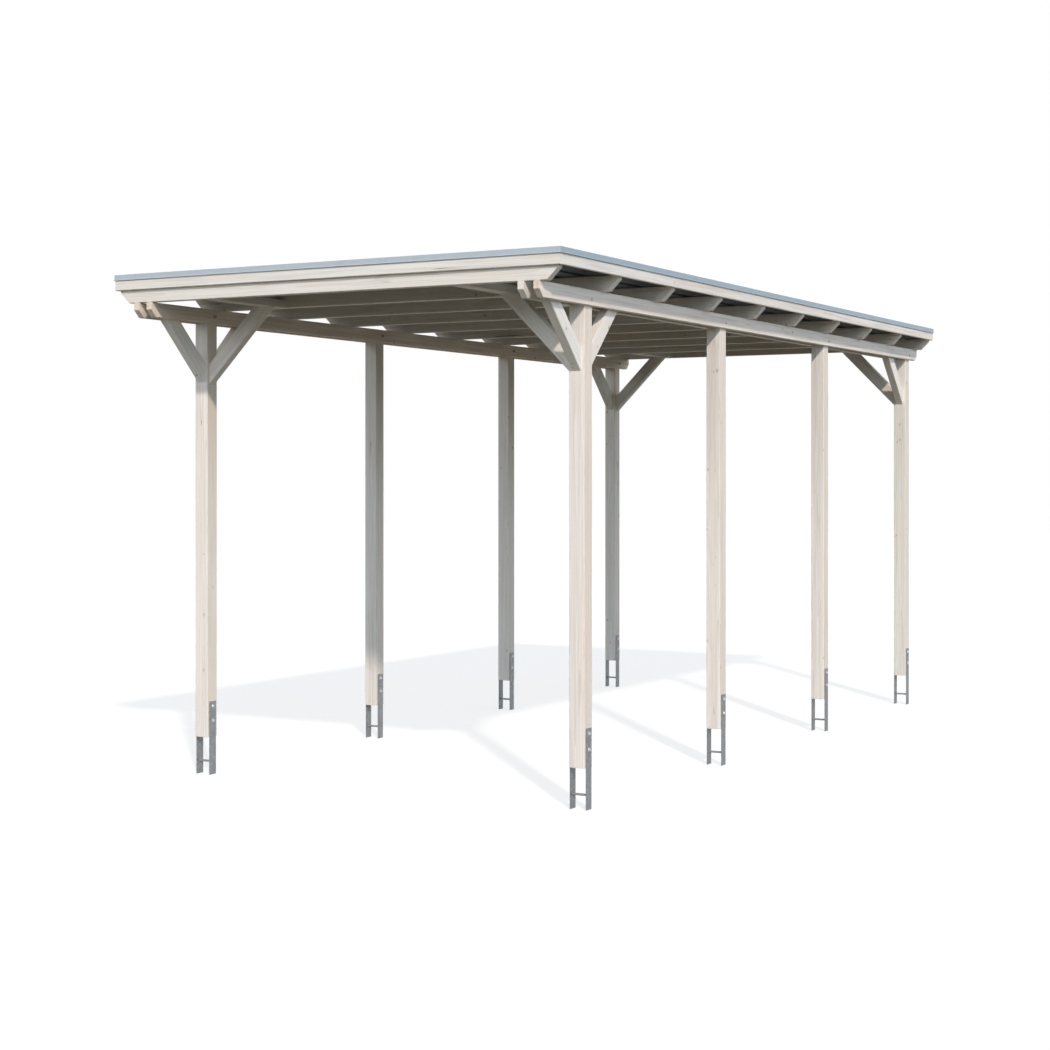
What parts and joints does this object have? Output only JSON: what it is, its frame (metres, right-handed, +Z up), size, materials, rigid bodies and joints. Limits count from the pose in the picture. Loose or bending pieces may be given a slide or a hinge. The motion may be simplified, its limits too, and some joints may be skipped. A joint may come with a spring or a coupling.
{
  "type": "carport",
  "caption": "Open flat-roofed timber carport: posts on steel anchors carry paired beams, knee braces, splayed rafters and a ribbed sheet roof behind a capped fascia.",
  "frame": {"origin": "on the ground under the middle of the roof", "axes": "+Z up, +Y from the open front to the back along the rows of posts, +X to the right"},
  "size_m": [3.639, 7.799, 3.671],
  "materials": {
    "whitewashed_timber": "spruce with a thin white glaze, faint grain and small knots",
    "galvanised_steel": "hot-dip galvanised, matt with a faint spangle",
    "roof_sheet": "dark coated trapezoidal steel sheet",
    "edge_cap": "folded sheet metal, satin pale grey"
  },
  "bodies": {
    "root": {"front_left_post": "whitewashed_timber", "front_right_post": "whitewashed_timber", "second_left_post": "whitewashed_timber", "second_right_post": "whitewashed_timber", "third_left_post": "whitewashed_timber", "third_right_post": "whitewashed_timber", "back_left_post": "whitewashed_timber", "back_right_post": "whitewashed_timber", "front_left_anchor": "galvanised_steel", "front_right_anchor": "galvanised_steel", "second_left_anchor": "galvanised_steel", "second_right_anchor": "galvanised_steel", "third_left_anchor": "galvanised_steel", "third_right_anchor": "galvanised_steel", "back_left_anchor": "galvanised_steel", "back_right_anchor": "galvanised_steel", "left_outer_beam": "whitewashed_timber", "left_inner_beam": "whitewashed_timber", "right_outer_beam": "whitewashed_timber", "right_inner_beam": "whitewashed_timber", "front_left_braces": "whitewashed_timber", "front_right_braces": "whitewashed_timber", "back_left_braces": "whitewashed_timber", "back_right_braces": "whitewashed_timber", "front_rafter": "whitewashed_timber", "rafter_2": "whitewashed_timber", "rafter_3": "whitewashed_timber", "rafter_4": "whitewashed_timber", "rafter_5": "whitewashed_timber", "rafter_6": "whitewashed_timber", "rafter_7": "whitewashed_timber", "rafter_8": "whitewashed_timber", "rafter_9": "whitewashed_timber", "back_rafter": "whitewashed_timber", "front_fascia": "whitewashed_timber", "back_fascia": "whitewashed_timber", "left_fascia": "whitewashed_timber", "right_fascia": "whitewashed_timber", "left_roof_sheet": "roof_sheet", "middle_roof_sheet": "roof_sheet", "right_roof_sheet": "roof_sheet", "brace_noggins": "whitewashed_timber", "edge_battens": "whitewashed_timber", "end_edge_caps": "edge_cap", "side_edge_caps": "edge_cap"}
  },
  "joints": []
}
